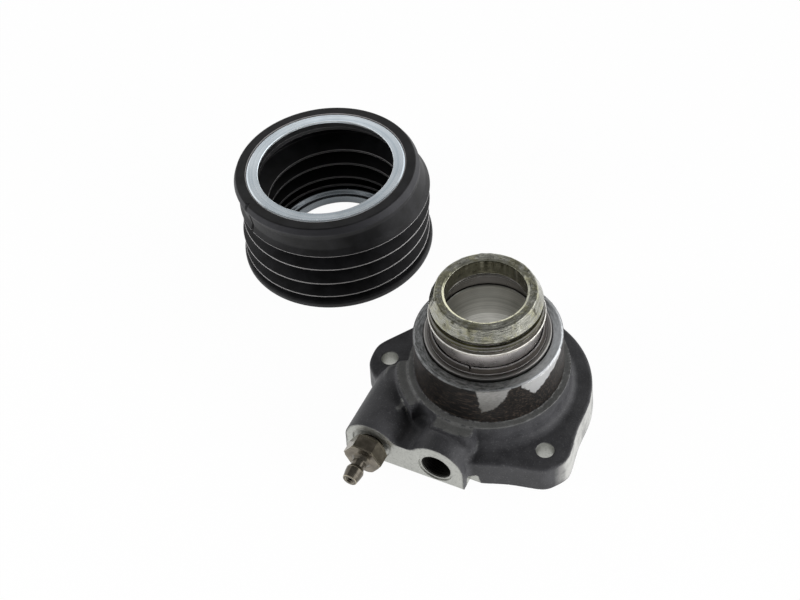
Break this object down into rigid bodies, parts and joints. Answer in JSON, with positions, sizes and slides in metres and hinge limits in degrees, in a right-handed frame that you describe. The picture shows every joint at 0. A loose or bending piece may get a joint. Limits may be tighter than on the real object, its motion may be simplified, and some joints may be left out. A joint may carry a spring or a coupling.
{
  "type": "clutch slave cylinder",
  "caption": "Concentric clutch slave cylinder: eared cast housing with port block and bleed screw, annular piston with thrust collar, and the rubber bellows boot taken off beside it.",
  "frame": {"origin": "where the cylinder's axis meets the mounting face of the flange", "axes": "+Z along the cylinder's axis from the mounting face to the thrust collar, -Y out of the machined port face"},
  "size_m": [0.1746, 0.1541, 0.0606],
  "materials": {
    "cast_housing": "dark phosphated casting with machined faces",
    "polished_steel": "ground and polished",
    "greased_steel": "ground, coated with translucent grease",
    "blackened_steel": "black-brown oxide",
    "spring_steel": "oiled, dark",
    "zinc_plate": "bright zinc plate",
    "boot_rubber": "satin moulded",
    "seal_rubber": "smooth moulded",
    "slide_plastic": "matt"
  },
  "bodies": {
    "root": {"housing": "cast_housing", "guide_sleeve": "polished_steel", "guide_sleeve_circlip": "spring_steel", "guide_sleeve_o_ring": "seal_rubber", "flange_o_ring": "seal_rubber", "preload_spring": "spring_steel", "stop_ring": "polished_steel", "stop_ring_lock_wire": "spring_steel", "wiper_seal": "seal_rubber", "boot": "boot_rubber", "boot_top_ring": "zinc_plate", "boot_base_ring": "zinc_plate"},
    "piston_group": {"piston": "polished_steel", "piston_seal": "seal_rubber", "seal_spreader_ring": "slide_plastic", "piston_guide_band": "slide_plastic", "thrust_collar": "greased_steel", "collar_snap_ring": "polished_steel", "collar_cushion_ring": "seal_rubber"},
    "bleed_screw_group": {"bleed_screw": "blackened_steel"}
  },
  "joints": [
    {"name": "piston_slide", "type": "slide", "parent": "root", "child": "piston_group", "axis": [0, 0, 1], "range_m": [-0.0061, 0], "stiffness_N_per_m": 2500, "springref_m": 0.01, "deforming": ["preload_spring"]},
    {"name": "bleed_screw_turn", "type": "hinge", "parent": "root", "child": "bleed_screw_group", "pos_m": [-0.0291, -0.0417, 0.0084], "axis": [0, -1, 0], "range_deg": [0, 360]}
  ]
}
